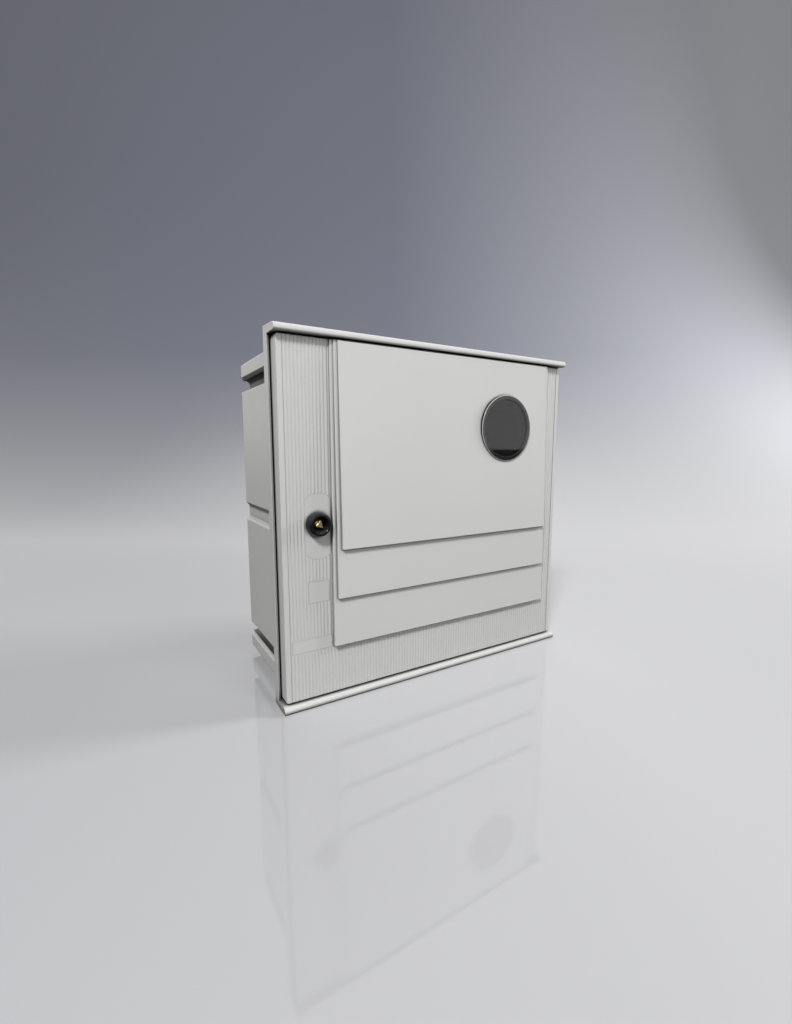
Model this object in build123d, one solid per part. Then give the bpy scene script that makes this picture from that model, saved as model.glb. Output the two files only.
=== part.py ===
from build123d import *
import math
import os

os.makedirs("parts", exist_ok=True)

# Flush-mounted electrical enclosure. Millimetres, +Z up, the front faces -Y.
# The origin is the centre of the four fixing holes, on the outer back face of the box.

# Back box: the moulded shell that is set into the wall
BOX_W = 488.0               # over the side pads
BOX_H = 474.8
BOX_D = 192.0               # back face to the wall surface, where the frame's flange bears
BOX_WALL = 3.0
BOX_REAR_R = 8.0            # rounding of the upright rear corners
BOX_EDGE_R = 2.5            # rounding of the long outer edges
BOX_LIP_W = 10.0            # width of the flange round the box's mouth
BOX_LIP_T = 3.0

# Side relief: anchoring channels that run front to back along both sides
GROOVE_D = 14.7             # depth of the upper and lower channels
GROOVE_H = 22.9             # from a pad's end to the edge band
EDGE_BAND_H = 19.8          # from the edge band to the box's top or bottom
LEDGE_BEVEL = 4.3           # bevel on each edge band, then a shelf, then a cove
LEDGE_COVE_R = 6.4
MID_GROOVE_D = 6.2
MID_GROOVE_H = 28.6         # at the surface
MID_GROOVE_BEVEL = 6.0      # height of its sloping sides
RELIEF_R = 1.6              # rounding of the pads' long edges

# Fixings and what stands on the back wall
FIX_INSET_X = 44.0          # from the box's sides to the fixing holes
FIX_INSET_Z = 37.4
FIX_HOLE_R = 3.25
FIX_BOSS_R = 8.0
FIX_BOSS_H = 5.0
PILLAR_INSET = 20.0         # from the mounting plate's edges
PILLAR_R = 7.0
PILLAR_H = 27.0
PILLAR_PILOT_D = 20.0

# Front frame with its lip and sill, one moulding
FRAME_OVER_SIDE = 16.0      # how far the frame stands past the box's sides
FRAME_OVER_LOW = 13.7       # past its bottom, to the underside of the sill
FRAME_OVER_TOP = 19.6       # past its top, to the top rear edge of the lip
FRAME_D = 14.6
FRAME_RIM = 3.2             # thickness of the side walls, seen from the front as a thin rim
FRAME_POCKET = 7.6          # the door sinks into this pocket inside the rim
FRAME_WALL = 3.0
FRAME_EDGE_R = 0.6
LIP_T = 9.6
LIP_FALL = 2.0              # the roof of the lip drops this much towards its front
LIP_REACH = 29.7
SILL_T = 9.6
SILL_REACH = 28.4
NOSE_FLAT = 0.6             # flat left between the two roundings of a nose
NOSE_LOW_R = 2.4            # lower rounding; the upper one takes the rest of the thickness
OPEN_INSET_X = 24.0         # from the box's sides to the frame's opening
OPEN_INSET_Z = 12.4
COLLAR_T = 2.5
COLLAR_D = 13.0
FRAME_SCREW_INSET = 9.0     # from the box's sides, top and bottom
FRAME_BOSS_R = 6.5
FRAME_BOSS_D = 23.0
FRAME_SCREW_L = 18.0

# Door, one moulding: skirt, reeded base and three stepped leaning plates
DOOR_SIDE_GAP = 1.9         # to the frame's side walls
DOOR_END_GAP = 2.0          # to the lip above and to the sill below
DOOR_PROUD = 19.6           # base face in front of the frame's rim
DOOR_SUNK = 5.6             # skirt behind the frame's rim
DOOR_WALL = 3.0
DOOR_CORNER_R = 3.0
DOOR_EDGE_R = 1.0
REED_PITCH = 5.0
REED_LAND = 0.8             # flat between two reeds
REED_H = 0.55
REED_BORDER = 5.4           # plain border at both sides

# Stepped plates, from the one that lies lowest: distance from the door's left, right and
# lower edge, and how far each stands in front of the door's base at its top and bottom
PLATE_FROM_LEFT = (69.5, 74.4, 79.9)
PLATE_FROM_RIGHT = (29.9, 34.4, 38.9)
PLATE_FROM_LOW = (68.6, 137.2, 206.0)
PLATE_TOP_RISE = (2.8, 4.8, 6.8)
PLATE_BOTTOM_RISE = (7.1, 11.3, 15.3)
PLATE_CORNER_R = 1.2
PLATE_EDGE_R = 1.2
PLATE_TOP_BEVEL = 2.0

# Plain fields without reeds: the lock's place, a small square and a long strip
LOCK_FIELD_W = 38.6
LOCK_FIELD_H = 90.5
LOCK_FIELD_DX = 1.0         # its middle against the lock's axis
LOCK_FIELD_DZ = -3.3
LOCK_FIELD_END_R = 25.0
SQUARE_FIELD_W = 30.5
SQUARE_FIELD_H = 30.0
SQUARE_FIELD_FROM_LOW = 149.6
STRIP_FIELD_FROM_LEFT = 10.0
STRIP_FIELD_H = 18.3
STRIP_FIELD_FROM_LOW = 76.3

# Pivot pins of the door
HINGE_INSET = 5.9           # from the door's right edge to the pins' axis
HINGE_SETBACK = 10.2        # from the door's base face to the pins' axis
PIN_R = 3.0
PIN_RUN_FIT = 0.08
PIN_HOLD_FIT = 0.02
PIN_IN_FRAME = 6.5
PIN_IN_DOOR = 22.0
PIN_END_PLAY = 0.5
PIN_COLLAR_R = 5.0
PIN_COLLAR_PLAY = 0.3
HINGE_BOSS_H = 26.0
HINGE_BOSS_HALF = 6.5

# Door seal, a rubber profile pushed onto a rib of the door
SEAL_MARGIN = 3.0           # outside the frame's opening
SEAL_SIDE = 2.2
SEAL_CLEAR = 0.3
SEAL_RIB_T = 2.5
SEAL_RIB_SHORT = 5.0        # from the rib's end to the frame
SEAL_GRIP = 6.0

# Window
WINDOW_FROM_RIGHT = 133.9   # from the door's edges to its centre
WINDOW_FROM_TOP = 107.4
LENS_R = 53.0
LENS_T = 4.8
LENS_BEVEL_H = 1.6
LENS_BEVEL_W = 6.2
LENS_PROUD = 3.6
LENS_LEDGE_W = 4.4          # from the skirt's outside to the lens's edge
LENS_SKIRT_T = 3.6
LENS_FIT = 0.2
WINDOW_SEAL_T = 0.8
WINDOW_COLLAR_W = 10.5      # beyond the lens
WINDOW_COLLAR_H = 6.0
WINDOW_SCREW_OUT = 6.0      # from the lens's edge to the ring's screws
CLIP_RING_GRIP = 3.0        # under the lens's skirt
CLIP_RING_LIP = 0.5         # beyond the collar
CLIP_RING_T = 2.5

# Quarter-turn lock for a triangular key
LOCK_FROM_LEFT = 49.7       # from the door's edges to its axis
LOCK_FROM_LOW = 242.5
LOCK_HEAD_R = 16.8
LOCK_HEAD_T = 12.0
LOCK_FOOT_H = 2.4           # straight edge under the dome
LOCK_RIM_R = 12.8
LOCK_WELL_R = 11.2
LOCK_WELL_FLOOR_R = 8.8
LOCK_WELL_D = 11.4
LOCK_TUBE_R = 11.0
LOCK_TAIL_R = 9.0
LOCK_HOLE_FIT = 0.2
LOCK_SEAL_T = 0.8
LOCK_NUT_AF = 27.0
LOCK_NUT_T = 6.0
SPINDLE_R = 4.3
SPINDLE_FIT = 0.08
KEY_TRI_R = 6.8             # centre to corner of the triangle
KEY_TRI_TURN = 72.0         # direction of its upper corner
KEY_TRI_SUNK = 4.6          # below the lock's face
KEY_TRI_CHAMFER = 0.5
SPINDLE_SQUARE = 6.0
SQUARE_FIT = 0.06
CAM_GRIP = 8.2              # how far the cam reaches behind the keeper
CAM_HALF_W = 7.0
CAM_T = 3.0
CAM_CLEAR = 0.5
CAM_SLOT_BELOW = 28.0
CAM_SLOT_ABOVE = 12.0

# Keeper behind the frame's left side
KEEPER_T = 2.0
KEEPER_W = 10.0
KEEPER_FROM_OPENING = 3.0
KEEPER_BELOW = 34.0
KEEPER_ABOVE = 20.0
KEEPER_SCREW_INSET = 4.0

# Mounting plate and its rail
BOARD_INSET_X = 64.0        # from the box's sides
BOARD_INSET_Z = 27.4
PLATE_T = 3.0
PLATE_R = 8.0
RAIL_INSET = 30.0           # from the plate's side edges to the rail's ends
RAIL_W = 35.0
RAIL_D = 7.5
RAIL_T = 1.0
RAIL_FLOOR_W = 27.0
RAIL_SCREW_INSET = 30.0     # from the rail's ends

# Cable entries in the bottom wall
ENTRY_PITCH = 110.0
ENTRY_SETBACK = 100.0       # from the box's back face
ENTRY_HOLE_R = 20.0
GROMMET_FIT = 0.1
GROMMET_LIP_R = 23.5
GROMMET_LIP_T = 2.0
GROMMET_BORE_R = 9.0

# Screws
SCREW_R = 2.0
SCREW_HEAD_R = 3.9
SCREW_HEAD_H = 2.4
SCREW_FIT = 0.05
SLOT_W = 1.2
SLOT_D = 1.0
PLATE_SCREW_BITE = 14.0
RAIL_SCREW_BITE = 3.0
CAM_SCREW_BITE = 9.0
CAM_WASHER_T = 1.0


def mirrored(x, z):
    """Four places, one in each quarter of the XZ plane."""
    return [(sx * x, sz * z) for sx in (-1, 1) for sz in (-1, 1)]


# Places that follow from the sizes above
FRAME_BACK = -BOX_D
FRAME_FACE = FRAME_BACK - FRAME_D
FRAME_W = BOX_W + 2 * FRAME_OVER_SIDE
FRAME_LOW = -BOX_H / 2 - FRAME_OVER_LOW
LIP_TOP_BACK = BOX_H / 2 + FRAME_OVER_TOP
LIP_TOP_FRONT = LIP_TOP_BACK - LIP_FALL
LIP_UNDER = LIP_TOP_FRONT - LIP_T
SILL_TOP = FRAME_LOW + SILL_T
OPEN_W = BOX_W - 2 * OPEN_INSET_X
OPEN_H = BOX_H - 2 * OPEN_INSET_Z
GROOVE_BAND_Z = BOX_H / 2 - EDGE_BAND_H
GROOVE_PAD_Z = GROOVE_BAND_Z - GROOVE_H
POCKET_Y = FRAME_FACE + FRAME_POCKET
MOUTH_Y = POCKET_Y + FRAME_WALL
DOOR_HALF = FRAME_W / 2 - FRAME_RIM - DOOR_SIDE_GAP
DOOR_TOP = LIP_UNDER - DOOR_END_GAP
DOOR_LOW = SILL_TOP + DOOR_END_GAP
DOOR_BACK = FRAME_FACE + DOOR_SUNK
DOOR_BASE = FRAME_FACE - DOOR_PROUD
SHELL_BACK = DOOR_BASE + DOOR_WALL
PLATE_LEFT = [inset - DOOR_HALF for inset in PLATE_FROM_LEFT]
PLATE_RIGHT = [DOOR_HALF - inset for inset in PLATE_FROM_RIGHT]
PLATE_BOTTOM = [DOOR_LOW + rise for rise in PLATE_FROM_LOW]
LOCK_X = LOCK_FROM_LEFT - DOOR_HALF
LOCK_Z = DOOR_LOW + LOCK_FROM_LOW
LOCK_FIELD_X = LOCK_X + LOCK_FIELD_DX
LOCK_FIELD_Z = LOCK_Z + LOCK_FIELD_DZ
SQUARE_FIELD_Z = DOOR_LOW + SQUARE_FIELD_FROM_LOW
STRIP_FIELD_LEFT = STRIP_FIELD_FROM_LEFT - DOOR_HALF
STRIP_FIELD_Z = DOOR_LOW + STRIP_FIELD_FROM_LOW
WINDOW_X = DOOR_HALF - WINDOW_FROM_RIGHT
WINDOW_Z = DOOR_TOP - WINDOW_FROM_TOP
HINGE_X = DOOR_HALF - HINGE_INSET
HINGE_Y = DOOR_BASE + HINGE_SETBACK
KEEPER_X1 = -OPEN_W / 2 - KEEPER_FROM_OPENING
KEEPER_X0 = KEEPER_X1 - KEEPER_W
KEEPER_BACK = MOUTH_Y + KEEPER_T
CAM_FRONT = KEEPER_BACK + CAM_CLEAR
CAM_REACH = LOCK_X - KEEPER_X1 + CAM_GRIP
PLATE_W = BOX_W - 2 * BOARD_INSET_X
PLATE_H = BOX_H - 2 * BOARD_INSET_Z
RAIL_L = PLATE_W - 2 * RAIL_INSET
RAIL_SCREW_PITCH = RAIL_L - 2 * RAIL_SCREW_INSET
ENTRY_XS = (-ENTRY_PITCH, 0, ENTRY_PITCH)
ENTRY_Y = -ENTRY_SETBACK
PLATE_BACK = -BOX_WALL - PILLAR_H
PLATE_FRONT = PLATE_BACK - PLATE_T
SEAL_RIB_BACK = POCKET_Y - SEAL_RIB_SHORT
FRAME_SCREWS = mirrored(BOX_W / 2 - FRAME_SCREW_INSET, BOX_H / 2 - FRAME_SCREW_INSET)
PILLARS = mirrored(PLATE_W / 2 - PILLAR_INSET, PLATE_H / 2 - PILLAR_INSET)
FIXINGS = mirrored(BOX_W / 2 - FIX_INSET_X, BOX_H / 2 - FIX_INSET_Z)
KEEPER_X = (KEEPER_X0 + KEEPER_X1) / 2
KEEPER_SCREWS = [
    (KEEPER_X, LOCK_Z - KEEPER_BELOW + KEEPER_SCREW_INSET),
    (KEEPER_X, LOCK_Z + KEEPER_ABOVE - KEEPER_SCREW_INSET),
]
PLATE_LEAN = (PLATE_BOTTOM_RISE[2] - PLATE_TOP_RISE[2]) / (DOOR_TOP - PLATE_BOTTOM[2])
WINDOW_FACE = DOOR_BASE - PLATE_TOP_RISE[2] - (DOOR_TOP - WINDOW_Z) * PLATE_LEAN
WINDOW_BACK = -DOOR_WALL - WINDOW_COLLAR_H
LENS_SEAT = LENS_PROUD - LENS_T - WINDOW_SEAL_T
LENS_SKIRT_R = LENS_R - LENS_LEDGE_W
WINDOW_COLLAR_R = LENS_R + WINDOW_COLLAR_W
WINDOW_SCREW_R = LENS_R + WINDOW_SCREW_OUT
CLIP_RING_IN = LENS_SKIRT_R - CLIP_RING_GRIP
CLIP_RING_OUT = WINDOW_COLLAR_R + CLIP_RING_LIP
LOW_ALIGN = (Align.CENTER, Align.CENTER, Align.MIN)


def block(x0, x1, y0, y1, z0, z1):
    """A box between two corners."""
    centre = Pos((x0 + x1) / 2, (y0 + y1) / 2, (z0 + z1) / 2)
    return centre * Box(abs(x1 - x0), abs(y1 - y0), abs(z1 - z0))


def rod(x, z, y_back, y_front, radius):
    """A round bar along Y."""
    return Pos(x, y_back, z) * Rot(90, 0, 0) * Cylinder(radius, y_back - y_front, align=LOW_ALIGN)


def upright(x, y, z_low, z_top, radius):
    """A round bar along Z."""
    return Pos(x, y, z_low) * Cylinder(radius, z_top - z_low, align=LOW_ALIGN)


def side_section(points_yz, half_width):
    """An outline in the YZ plane, drawn out to both sides of the middle."""
    face = Plane.YZ * make_face(Polyline(*points_yz, close=True))
    return extrude(face, half_width, both=True)


def turned(profile):
    """A body turned about its own +Z from (radius, height) points."""
    face = Plane.XZ * make_face(Polyline(*profile, close=True))
    return revolve(face, Axis.Z)


def facing(x, y, z):
    """Where a turned body goes that points to the front with its foot at this place."""
    return Pos(x, y, z) * Rot(90, 0, 0)


def sunk_screw(x, z, y_face, length):
    """A countersunk screw whose head is flush with a face that looks to the front."""
    profile = [(0, 0), (SCREW_R, 0), (SCREW_R, length - SCREW_HEAD_H), (SCREW_HEAD_R, length), (0, length)]
    body = turned(profile)
    slot = Pos(0, 0, length) * Box(SCREW_HEAD_R * 1.6, SLOT_W, 2 * SLOT_D)
    return facing(x, y_face + length, z) * (body - slot)


def sunk_hole(x, z, y_face, depth):
    """The hole for a countersunk screw."""
    wide = SCREW_HEAD_R + SCREW_FIT
    narrow = SCREW_R + SCREW_FIT
    profile = [(0, 0), (narrow, 0), (narrow, depth - SCREW_HEAD_H), (wide, depth), (0, depth)]
    return facing(x, y_face + depth, z) * turned(profile)


def pan_screw(length):
    """A slotted screw with a domed head, pointing to the front, head seat at height zero."""
    shank = Pos(0, 0, -length) * Cylinder(SCREW_R, length, align=LOW_ALIGN)
    head = Cylinder(SCREW_HEAD_R, SCREW_HEAD_H, align=LOW_ALIGN)
    head = fillet(head.edges().group_by(Axis.Z)[-1], SCREW_HEAD_H * 0.45)
    slot = Pos(0, 0, SCREW_HEAD_H) * Box(SCREW_HEAD_R * 1.6, SLOT_W, 2 * SLOT_D)
    return shank + head - slot


def channel_outlines(grow):
    """Sections of the right side's channels in (x, z), grown all round by the wall for the inside."""
    side = BOX_W / 2
    past = side + 5
    floor_x = side - GROOVE_D - grow
    shelf_z = GROOVE_BAND_Z - LEDGE_BEVEL + grow
    pad_z = GROOVE_PAD_Z - grow
    bevel_rise = GROOVE_BAND_Z - side + grow * math.sqrt(2)
    cove = LEDGE_COVE_R + grow
    sag = cove * (1 - math.sqrt(0.5))
    upper = [
        Polyline((past, pad_z), (past, past + bevel_rise), (shelf_z - bevel_rise, shelf_z), (floor_x + cove, shelf_z)),
        ThreePointArc((floor_x + cove, shelf_z), (floor_x + sag, shelf_z - sag), (floor_x, shelf_z - cove)),
        Polyline((floor_x, shelf_z - cove), (floor_x, pad_z), (past, pad_z)),
    ]
    slope = MID_GROOVE_BEVEL / MID_GROOVE_D
    lift = MID_GROOVE_H / 2 + grow * math.hypot(1, slope)
    floor = side - MID_GROOVE_D - grow
    mouth_z = lift + slope * (past - side)
    floor_z = lift + slope * (floor - side)
    middle = Polyline((past, mouth_z), (floor, floor_z), (floor, -floor_z), (past, -mouth_z), close=True)
    return make_face(Curve() + upper), make_face(middle)


def channels(grow):
    """The channels of both sides as cutters."""
    upper, middle = channel_outlines(grow)
    reach = -MOUTH_Y + 5
    cutters = []
    for outline in (upper, mirror(upper, about=Plane.XZ), middle):
        for face in (outline, mirror(outline, about=Plane.YZ)):
            cutters.append(Pos(0, 5, 0) * extrude(Plane.XZ * face, reach + 5))
    return cutters


def rounded_block(inset, y_front):
    """The box's envelope with its rounded rear corners, moved inwards by inset."""
    half_w = BOX_W / 2 - inset
    half_h = BOX_H / 2 - inset
    solid = block(-half_w, half_w, y_front, -inset, -half_h, half_h)
    solid = fillet(solid.edges().filter_by(Axis.Z).group_by(Axis.Y)[-1], BOX_REAR_R - inset)
    back = solid.edges().filter_by(lambda e: abs(e.center().Z) > half_h - 0.01)
    back = back.filter_by(lambda e: e.center().Y > y_front + 0.01)
    return fillet(back, max(BOX_EDGE_R - inset, 0.5))


def make_back_box():
    """Moulded box: relief shell, mouth flange, corner bosses, fixing bosses and pillars."""
    outer = rounded_block(0, MOUTH_Y)
    for cutter in channels(0):
        outer -= cutter
    long = outer.edges().filter_by(Axis.Y).filter_by(lambda e: e.length > BOX_D / 2)
    rims = long.filter_by(lambda e: abs(abs(e.center().X) - BOX_W / 2) < 0.01)
    rims = rims.filter_by(lambda e: abs(e.center().Z) < GROOVE_BAND_Z + 0.01)
    outer = fillet(rims, RELIEF_R)
    hollow = rounded_block(BOX_WALL, MOUTH_Y - 1)
    for cutter in channels(BOX_WALL):
        hollow -= cutter
    lip = block(
        -BOX_W / 2 - BOX_LIP_W, BOX_W / 2 + BOX_LIP_W, MOUTH_Y, MOUTH_Y + BOX_LIP_T,
        -BOX_H / 2 - BOX_LIP_W, BOX_H / 2 + BOX_LIP_W)
    shell = outer + lip - hollow
    for x, z in FRAME_SCREWS:
        shell += rod(x, z, MOUTH_Y + FRAME_BOSS_D, MOUTH_Y, FRAME_BOSS_R)
    for x, z in FIXINGS:
        shell += rod(x, z, -BOX_WALL / 2, -BOX_WALL - FIX_BOSS_H, FIX_BOSS_R)
    for x, z in PILLARS:
        shell += rod(x, z, -BOX_WALL / 2, PLATE_BACK, PILLAR_R)
    for x, z in FRAME_SCREWS:
        shell -= rod(x, z, POCKET_Y + FRAME_SCREW_L + 1, MOUTH_Y - 1, SCREW_R + SCREW_FIT)
    for x, z in FIXINGS:
        shell -= rod(x, z, 1, -BOX_WALL - FIX_BOSS_H - 1, FIX_HOLE_R)
    for x, z in PILLARS:
        shell -= rod(x, z, PLATE_BACK + PILLAR_PILOT_D, PLATE_BACK - 1, SCREW_R + SCREW_FIT)
    for x in ENTRY_XS:
        low = -BOX_H / 2
        shell -= upright(x, ENTRY_Y, low - 1, low + BOX_WALL + 1, ENTRY_HOLE_R)
    return shell


def nose_points(nose_y, z_low, z_top):
    """Rounded front edge of the lip or sill, from its upper to its lower side."""
    high_r = z_top - z_low - NOSE_FLAT - NOSE_LOW_R
    steps = 6
    points = []
    for radius, centre_z, start in ((high_r, z_top - high_r, 90), (NOSE_LOW_R, z_low + NOSE_LOW_R, 180)):
        for step in range(steps + 1):
            turn = math.radians(start + 90 * step / steps)
            points.append((nose_y + radius + radius * math.cos(turn), centre_z + radius * math.sin(turn)))
    return points


def make_front_frame():
    """Frame with the overhanging lip, the sill, the collar and the pivot sockets."""
    outline = [(FRAME_BACK, LIP_TOP_BACK)]
    outline += nose_points(FRAME_FACE - LIP_REACH, LIP_UNDER, LIP_TOP_FRONT)
    outline += [(POCKET_Y, LIP_UNDER), (POCKET_Y, SILL_TOP)]
    outline += nose_points(FRAME_FACE - SILL_REACH, FRAME_LOW, SILL_TOP)
    outline += [(FRAME_BACK, FRAME_LOW)]
    frame = side_section(outline, FRAME_W / 2)
    for side in (-1, 1):
        rim = block(side * (FRAME_W / 2 - FRAME_RIM), side * FRAME_W / 2, FRAME_FACE, FRAME_BACK, SILL_TOP, LIP_UNDER)
        frame += fillet(rim.edges().filter_by(Axis.Z).group_by(Axis.Y)[0], FRAME_EDGE_R)
    half = FRAME_W / 2 - FRAME_RIM
    frame -= block(-half, half, MOUTH_Y, FRAME_BACK + 1, FRAME_LOW + FRAME_WALL, LIP_TOP_FRONT - FRAME_WALL)
    collar = block(
        -OPEN_W / 2 - COLLAR_T, OPEN_W / 2 + COLLAR_T, MOUTH_Y - FRAME_WALL / 2, MOUTH_Y + COLLAR_D,
        -OPEN_H / 2 - COLLAR_T, OPEN_H / 2 + COLLAR_T)
    frame += collar
    frame -= block(-OPEN_W / 2, OPEN_W / 2, POCKET_Y - 1, MOUTH_Y + COLLAR_D + 1, -OPEN_H / 2, OPEN_H / 2)
    frame -= block(
        -OPEN_W / 2 - COLLAR_T - 1, -OPEN_W / 2 + 1, MOUTH_Y, MOUTH_Y + COLLAR_D + 1,
        LOCK_Z - CAM_SLOT_BELOW, LOCK_Z + CAM_SLOT_ABOVE)
    socket = PIN_R + PIN_RUN_FIT
    deep = PIN_IN_FRAME + PIN_END_PLAY
    frame -= upright(HINGE_X, HINGE_Y, LIP_UNDER - 1, LIP_UNDER + deep, socket)
    frame -= upright(HINGE_X, HINGE_Y, SILL_TOP - deep, SILL_TOP + 1, socket)
    for x, z in FRAME_SCREWS + KEEPER_SCREWS:
        frame -= sunk_hole(x, z, POCKET_Y, FRAME_WALL + 1)
    return frame


def reeded_base():
    """Door block whose front carries upright rounded reeds between plain borders."""
    crest = DOOR_BASE - REED_H
    count = int((2 * DOOR_HALF - 2 * REED_BORDER - REED_LAND) / REED_PITCH)
    start = -(count * REED_PITCH + REED_LAND) / 2
    parts = [Polyline((-DOOR_HALF, DOOR_BACK), (-DOOR_HALF, crest), (start, crest), (start, DOOR_BASE))]
    for index in range(count):
        x = start + index * REED_PITCH
        a = (x + REED_LAND, DOOR_BASE)
        b = (x + REED_PITCH, DOOR_BASE)
        parts.append(Line((x, DOOR_BASE), a))
        parts.append(ThreePointArc(a, ((a[0] + b[0]) / 2, crest), b))
    last = start + count * REED_PITCH
    parts.append(Polyline(
        (last, DOOR_BASE), (last + REED_LAND, DOOR_BASE), (last + REED_LAND, crest),
        (DOOR_HALF, crest), (DOOR_HALF, DOOR_BACK), (-DOOR_HALF, DOOR_BACK)))
    reeds = extrude(Pos(0, 0, DOOR_LOW) * make_face(Curve() + parts), DOOR_TOP - DOOR_LOW)
    envelope = block(-DOOR_HALF, DOOR_HALF, crest, DOOR_BACK, DOOR_LOW, DOOR_TOP)
    envelope = fillet(envelope.edges().filter_by(Axis.Y), DOOR_CORNER_R)
    envelope = fillet(envelope.edges().group_by(Axis.Y)[0], DOOR_EDGE_R)
    return reeds & envelope


def field(outline):
    """Cutter that takes the reeds off a plain field."""
    return Pos(0, DOOR_BASE, 0) * extrude(Plane.XZ * outline, REED_H + 1)


def lock_field():
    """Outline of the plain field round the lock: upright sides and arched ends."""
    box = Pos(LOCK_FIELD_X, LOCK_FIELD_Z) * Rectangle(LOCK_FIELD_W, LOCK_FIELD_H)
    reach = LOCK_FIELD_H / 2 - LOCK_FIELD_END_R
    ends = [Pos(LOCK_FIELD_X, LOCK_FIELD_Z + s * reach) * Circle(LOCK_FIELD_END_R) for s in (-1, 1)]
    middle = Pos(LOCK_FIELD_X, LOCK_FIELD_Z) * Rectangle(LOCK_FIELD_W, 2 * reach)
    return box & (ends[0] + ends[1] + middle)


def wedge(index, inset):
    """One leaning plate as a solid, or the hollow behind it when inset is its wall."""
    top = DOOR_TOP - inset
    low = PLATE_BOTTOM[index] + inset
    face_top = DOOR_BASE - PLATE_TOP_RISE[index] + inset
    face_low = DOOR_BASE - PLATE_BOTTOM_RISE[index] + inset
    root = DOOR_BASE + DOOR_WALL / 2 if inset == 0 else SHELL_BACK + 1
    bevel = PLATE_TOP_BEVEL if index == 2 else PLATE_TOP_BEVEL / 2
    points = [(root, top), (face_top + bevel, top), (face_top, top - bevel), (face_low, low), (root, low)]
    face = Plane.YZ * make_face(Polyline(*points, close=True))
    left = PLATE_LEFT[index] + inset
    right = PLATE_RIGHT[index] - inset
    solid = Pos(left, 0, 0) * extrude(face, right - left)
    if inset:
        return solid
    corners = solid.edges().filter_by(Axis.Y).filter_by(lambda e: abs(e.center().Z - low) < 0.01)
    solid = fillet(corners, PLATE_CORNER_R)
    front = solid.faces().filter_by(lambda f: f.normal_at().Y < -0.9)
    rim = front.edges().filter_by(lambda e: e.center().Z < top - bevel - 1)
    return fillet(rim, PLATE_EDGE_R)


def window_place():
    """The window's own frame: upright, on the leaning plate, its +Z points to the front."""
    return facing(WINDOW_X, WINDOW_FACE, WINDOW_Z)


def window_screw_spots():
    """Places of the clip ring's screws in the window's own frame."""
    spots = []
    for turn in (45, 135, 225, 315):
        angle = math.radians(turn)
        spots.append((WINDOW_SCREW_R * math.cos(angle), WINDOW_SCREW_R * math.sin(angle)))
    return spots


def ring(outer, inner, low, high):
    """A flat ring in its own frame between two heights."""
    body = Pos(0, 0, low) * Cylinder(outer, high - low, align=LOW_ALIGN)
    return body - Pos(0, 0, low - 1) * Cylinder(inner, high - low + 2, align=LOW_ALIGN)


def seal_loop(grow_in, grow_out, y_front, y_back):
    """A square loop round the frame's opening, between two distances outside its edge."""
    outer_x = OPEN_W / 2 + grow_out
    outer_z = OPEN_H / 2 + grow_out
    inner_x = OPEN_W / 2 + grow_in
    inner_z = OPEN_H / 2 + grow_in
    outer = block(-outer_x, outer_x, y_front, y_back, -outer_z, outer_z)
    inner = block(-inner_x, inner_x, y_front - 1, y_back + 1, -inner_z, inner_z)
    return outer - inner


def seal_rib(y_front):
    """The door's rib that carries the seal."""
    near = SEAL_MARGIN + SEAL_SIDE
    return seal_loop(near, near + SEAL_RIB_T, y_front, SEAL_RIB_BACK)


def make_door_panel():
    """Reeded base, three stepped plates, hollow back, seal rib, pin blocks and collar."""
    solid = reeded_base()
    solid -= field(lock_field())
    solid -= field(Pos(LOCK_X, SQUARE_FIELD_Z) * Rectangle(SQUARE_FIELD_W, SQUARE_FIELD_H))
    strip_w = PLATE_LEFT[0] - STRIP_FIELD_LEFT
    solid -= field(Pos(STRIP_FIELD_LEFT + strip_w / 2, STRIP_FIELD_Z) * Rectangle(strip_w, STRIP_FIELD_H))
    for index in range(len(PLATE_LEFT)):
        solid += wedge(index, 0)
    inner = DOOR_HALF - DOOR_WALL
    hollow = block(-inner, inner, SHELL_BACK, DOOR_BACK + 1, DOOR_LOW + DOOR_WALL, DOOR_TOP - DOOR_WALL)
    for index in range(len(PLATE_LEFT)):
        hollow += wedge(index, DOOR_WALL)
    door = solid - hollow
    deep = DOOR_BASE - PLATE_BOTTOM_RISE[2]
    door += seal_rib(deep) & solid
    half = HINGE_BOSS_HALF
    for low, high in ((DOOR_TOP - HINGE_BOSS_H, DOOR_TOP), (DOOR_LOW, DOOR_LOW + HINGE_BOSS_H)):
        door += block(HINGE_X - half, DOOR_HALF - 1, SHELL_BACK - 1, DOOR_BACK, low, high) & solid
    door -= upright(HINGE_X, HINGE_Y, DOOR_TOP - PIN_IN_DOOR, DOOR_TOP + 1, PIN_R + PIN_HOLD_FIT)
    door -= upright(HINGE_X, HINGE_Y, DOOR_LOW - 1, DOOR_LOW + PIN_IN_DOOR, PIN_R + PIN_HOLD_FIT)
    door -= rod(LOCK_X, LOCK_Z, SHELL_BACK + 1, DOOR_BASE - 1, LOCK_TUBE_R + LOCK_HOLE_FIT)
    place = window_place()
    hole = LENS_SKIRT_R + LENS_FIT
    door += place * ring(WINDOW_COLLAR_R, hole, WINDOW_BACK, -WINDOW_BACK) & solid
    cut = Pos(0, 0, 2 * WINDOW_BACK) * Cylinder(hole, -4 * WINDOW_BACK, align=LOW_ALIGN)
    cut += Pos(0, 0, LENS_SEAT) * Cylinder(LENS_R + LENS_FIT, LENS_T * 3, align=LOW_ALIGN)
    for x, y in window_screw_spots():
        cut += Pos(x, y, WINDOW_BACK - 1) * Cylinder(SCREW_R + SCREW_FIT, WINDOW_COLLAR_H + 1, align=LOW_ALIGN)
    return door - place * cut


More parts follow.
